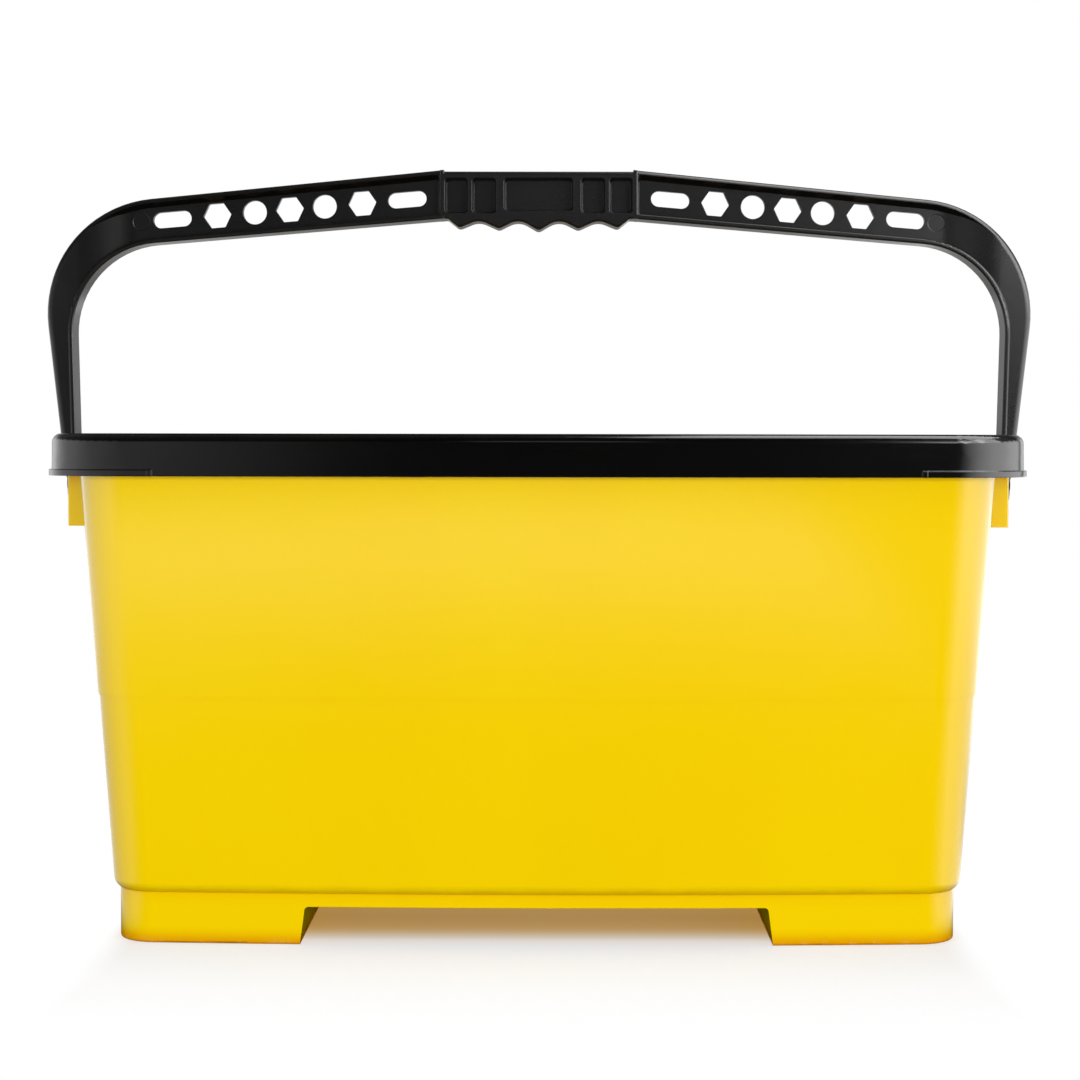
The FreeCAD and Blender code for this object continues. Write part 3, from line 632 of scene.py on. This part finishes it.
def colour_steps(tree, share, stops, column=0, row=0):
    """A Color Ramp through (share, colour) stops."""
    node = add(tree, "ShaderNodeValToRGB", column, row, {"Fac": share})
    elements = node.color_ramp.elements
    for element, (place, colour) in zip((elements[0], elements[1]), (stops[0], stops[-1])):
        element.position = place
        element.color = (*colour, 1.0)
    for place, colour in stops[1:-1]:
        elements.new(place).color = (*colour, 1.0)
    return node.outputs[0]


def floor_seen(tree, parts, aside):
    """What the camera sees: white, with a shadow around the feet, partly real and partly painted.
    """
    ahead = maths(tree, "ABSOLUTE", parts.outputs["Y"], 0.0, -5, 1)
    fade_aside = ramp(tree, aside, *SHADOW_ENDS_AT_SIDE, 0.0, 1.0, -4, 0)
    fade_ahead = ramp(tree, ahead, *SHADOW_ENDS_IN_FRONT, 0.0, 1.0, -4, 1)
    fade = maths(tree, "MAXIMUM", fade_aside, fade_ahead, -3, 0)
    white = add(tree, "ShaderNodeEmission", -2, 0, {"Color": WHITE, "Strength": 1.0})
    # Painted shadow: the floor glows with a colour that darkens and warms towards the bucket.
    painted_shadow = colour_steps(tree, maths(tree, "DIVIDE", ahead, PAINTED_SHADOW_SPAN, -5, 3),
                        [(place / PAINTED_SHADOW_SPAN, colour) for place, colour in PAINTED_SHADOW_COLOURS], -4, 3)
    base = add(tree, "ShaderNodeEmission", -3, 1, {"Color": painted_shadow, "Strength": 1.0})
    lit = add(tree, "ShaderNodeBsdfDiffuse", -3, 2, {"Color": SHADOW_WHITE})
    near = add(tree, "ShaderNodeAddShader", -2, 1, {0: base.outputs[0], 1: lit.outputs[0]})
    return add(tree, "ShaderNodeMixShader", -1, 0,
               {0: fade, 1: near.outputs[0], 2: white.outputs[0]}).outputs[0]


def floor_mirrored(tree, place, parts, aside):
    """What mirror rays find: the rings, the sides and the floor behind."""
    distance = add(tree, "ShaderNodeVectorMath", -6, 4, {0: place},
                   operation="LENGTH").outputs["Value"]
    whole_rings = steps(tree, distance, FLOOR_RADIUS, MIRROR_RINGS, -5, 4)
    kept = ramp(tree, parts.outputs["X"], *RINGS_END_AT_RIGHT, 1.0, RINGS_BEYOND_THE_END, -4, 5)
    rings = maths(tree, "MULTIPLY", whole_rings, kept, -2, 5)

    beyond = maths(tree, "SUBTRACT", aside, SIDE_GLOW_CORNER[0], -8, 6)
    before = maths(tree, "SUBTRACT", -SIDE_GLOW_CORNER[1], parts.outputs["Y"], -8, 7)
    forward = maths(tree, "ADD", maths(tree, "MAXIMUM", before, 0.0, -7, 7), LEAST_FORWARD, -6, 7)
    beside = ramp(tree, maths(tree, "DIVIDE", beyond, forward, -5, 6), *SIDE_GLOW_SLOPE,
                  column=-4, row=6)
    left_to_right = ramp(tree, parts.outputs["X"], -SIDE_GLOW_BLEND, SIDE_GLOW_BLEND, *SIDE_GLOW,
                         -5, 8)
    growth = ramp(tree, distance, *SIDE_GLOW_GROWS, -5, 9)
    side_glow = maths(tree, "MULTIPLY", left_to_right, growth, -4, 8)
    in_front = add(tree, "ShaderNodeMix", -3, 6, {0: beside, 2: rings, 3: side_glow},
                   data_type="FLOAT").outputs[0]

    past_middle = ramp(tree, parts.outputs["Y"], *BACK_GLOW_STARTS, column=-5, row=10)
    inside_sides = ramp(tree, aside, *BACK_GLOW_ENDS, 1.0, 0.0, -5, 11)
    behind = maths(tree, "MULTIPLY", past_middle, inside_sides, -4, 9)
    back_glow = ramp(tree, distance, *BACK_GLOW_FADES, -4, 10)
    strength = add(tree, "ShaderNodeMix", -2, 6, {0: behind, 2: in_front, 3: back_glow},
                   data_type="FLOAT").outputs[0]
    return add(tree, "ShaderNodeEmission", -2, 4, {"Color": WHITE, "Strength": strength}).outputs[0]


def floor_material():
    material = bpy.data.materials.new("studio_floor")
    material.use_nodes = True
    tree = material.node_tree
    tree.nodes.remove(tree.nodes["Principled BSDF"])
    out = tree.nodes["Material Output"]
    path = add(tree, "ShaderNodeLightPath", -4, 2)
    place = add(tree, "ShaderNodeTexCoord", -7, 0).outputs["Object"]
    parts = add(tree, "ShaderNodeSeparateXYZ", -6, 0, {"Vector": place})
    aside = maths(tree, "ABSOLUTE", parts.outputs["X"], 0.0, -5, 0)
    seen = floor_seen(tree, parts, aside)
    mirrored = floor_mirrored(tree, place, parts, aside)
    bounce = add(tree, "ShaderNodeEmission", -2, 3, {"Color": WHITE, "Strength": FLOOR_BOUNCE})
    unseen = add(tree, "ShaderNodeMixShader", -1, 3,
                 {0: path.outputs["Is Glossy Ray"], 1: bounce.outputs[0], 2: mirrored})
    clear = maths(tree, "MAXIMUM", path.outputs["Is Camera Ray"],
                  path.outputs["Is Transmission Ray"], -2, 2)
    final = add(tree, "ShaderNodeMixShader", 0, 1, {0: clear, 1: unseen.outputs[0], 2: seen})
    tree.links.new(final.outputs[0], out.inputs["Surface"])
    material.cycles.emission_sampling = "NONE"
    return material


def make_floor():
    mesh = bpy.data.meshes.new("studio_floor")
    turns = [2 * math.pi * side / FLOOR_SIDES for side in range(FLOOR_SIDES)]
    points = [(FLOOR_RADIUS * math.cos(t), FLOOR_RADIUS * math.sin(t), 0) for t in turns]
    mesh.from_pydata(points, [], [tuple(range(FLOOR_SIDES))])
    floor = bpy.data.objects.new("studio_floor", mesh)
    bpy.context.scene.collection.objects.link(floor)
    floor.location.z = tub_low.z - FLOOR_GAP
    mesh.materials.append(floor_material())
    return floor


floor = make_floor()
print("floor of %.1f m radius, at %.2f mm" % (FLOOR_RADIUS, floor.location.z / MM))

# %% [markdown]
# ## The room
# The world stands for the room around the bucket. The camera sees it white. Diffuse light finds
# an even grey fill. Mirror rays find walls like those that the glossy rim shows in the
# photograph. They are set as brightness against the angle from straight behind, negative to the
# left: a white wall at the left that reaches round towards the lens, bright edges of the
# backdrop, a large soft box at the right, and a dark room where the photographer stands. All of
# it fades out a little above the horizon, so what faces up stays dark but for the lamps.

# %% World
ROOM_FILL = 0.35
ROOM_TOP = (0.12, 0.38)
ROOM_ABOVE_ITS_TOP = 0.08
ROOM_LIGHT = (
    (-180, 0.03), (-171, 0.05), (-166, 0.36), (-161, 0.65), (-124, 0.95), (-98, 1.4),
    (-79, 1.3), (-47, 1.8), (-35, 1.5), (-20, 0.5), (20, 0.5), (33, 1.5), (40, 1.5),
    (46, 0.35), (55, 2.2), (75, 3.6), (110, 4.4), (130, 3.2), (142, 2.0), (150, 0.9),
    (156, 0.08), (180, 0.03),
)


def make_world():
    world = bpy.data.worlds.new("studio_room")
    world.use_nodes = True
    tree = world.node_tree
    background = tree.nodes["Background"]
    path = add(tree, "ShaderNodeLightPath", -4, 4)
    direction = add(tree, "ShaderNodeTexCoord", -9, 0).outputs["Generated"]
    parts = add(tree, "ShaderNodeSeparateXYZ", -8, 0, {"Vector": direction})
    bearing = maths(tree, "ARCTAN2", parts.outputs["X"], parts.outputs["Y"], -7, 0)
    turned = maths(tree, "ADD", bearing, math.pi, -6, 0)
    stops = [(math.radians(angle + 180), height) for angle, height in ROOM_LIGHT]
    wall = steps(tree, turned, 2 * math.pi, stops, -5, 0)
    low = ramp(tree, parts.outputs["Z"], *ROOM_TOP, 1.0, ROOM_ABOVE_ITS_TOP, -3, 1)
    mirrored = maths(tree, "MULTIPLY", wall, low, -2, 0)
    hidden = maths(tree, "MULTIPLY", mirrored, path.outputs["Is Glossy Ray"], -1, 0)
    not_glossy = maths(tree, "SUBTRACT", 1.0, path.outputs["Is Glossy Ray"], -2, 2)
    fill = maths(tree, "MULTIPLY", not_glossy, ROOM_FILL, -1, 2)
    unseen = maths(tree, "ADD", hidden, fill, 0, 0)
    clear = maths(tree, "MAXIMUM", path.outputs["Is Camera Ray"],
                  path.outputs["Is Transmission Ray"], -1, 4)
    strength = add(tree, "ShaderNodeMix", 1, 0, {0: clear, 2: unseen, 3: 1.0},
                   data_type="FLOAT").outputs[0]
    background.inputs["Color"].default_value = WHITE
    tree.links.new(strength, background.inputs["Strength"])
    world.cycles.sampling_method = "NONE"
    bpy.context.scene.world = world


make_world()
print("room fill", ROOM_FILL)

# %% [markdown]
# ## The lamps
# Soft boxes light the bucket. What a box shows in a mirror and what it adds to a matt wall are
# set apart. Five boxes are only mirrored: two high ones at the right and two nearer the lens put
# a soft sheen on the satin handle, stronger towards its right end, and one overhead brightens
# the rim's shoulder and what faces up. Five boxes are never mirrored: they light the matt walls
# from the front, the back, above and both sides, like the large white surfaces of a studio.

# %% Soft boxes
def soft_box(name, place, target, size, brightness, mirrored=True, matt=True):
    """A rectangular lamp that looks at a point; brightness is what a mirror would show."""
    data = bpy.data.lights.new(name, "AREA")
    data.shape = "RECTANGLE"
    data.size, data.size_y = size
    data.energy = brightness * math.pi * size[0] * size[1]
    lamp = bpy.data.objects.new(name, data)
    bpy.context.scene.collection.objects.link(lamp)
    lamp.location = place
    lamp.rotation_euler = (Vector(target) - Vector(place)).to_track_quat("-Z", "Y").to_euler()
    lamp.visible_glossy = mirrored
    lamp.visible_diffuse = matt
    lamp.visible_camera = False
    print("%s: %.1f W" % (name, data.energy))


soft_box("high_right_box", (1.10, -1.10, 0.95), (0.10, 0.0, 0.35), (0.9, 0.9), 5.0, matt=False)
soft_box("upper_right_box", (1.35, -0.55, 0.95), (0.25, 0.0, 0.25), (0.9, 0.9), 5.0, matt=False)
soft_box("near_front_box", (0.02, -0.95, 0.56), (0.10, 0.0, 0.38), (0.20, 0.16), 0.8, matt=False)
soft_box("near_right_box", (0.62, -0.95, 0.57), (0.26, 0.0, 0.35), (0.35, 0.30), 5.5, matt=False)
soft_box("overhead_soft_box", (0.72, -0.05, 1.60), (0.22, 0.0, 0.2), (1.2, 1.2), 5.2, matt=False)
soft_box("front_fill_box", (0.35, -2.3, 0.30), (0.0, 0.0, 0.18), (3.2, 0.55), 9.0, mirrored=False)
soft_box("back_fill_box", (-0.35, 2.3, 0.30), (0.0, 0.0, 0.18), (3.2, 0.55), 6.5, mirrored=False)
soft_box("inside_fill_box", (0.0, 0.0, 1.70), (0.0, 0.0, 0.0), (0.5, 0.5), 5.0, mirrored=False)
soft_box("left_fill_box", (-1.7, -0.8, 0.25), (0.0, 0.0, 0.2), (1.4, 0.45), 3.4, mirrored=False)
soft_box("right_fill_box", (1.7, -0.6, 0.25), (0.0, 0.0, 0.2), (1.4, 0.45), 3.0, mirrored=False)

# %% [markdown]
# The Standard view shows colours as they are written.

# %% Finish
bpy.context.scene.view_settings.view_transform = "Standard"
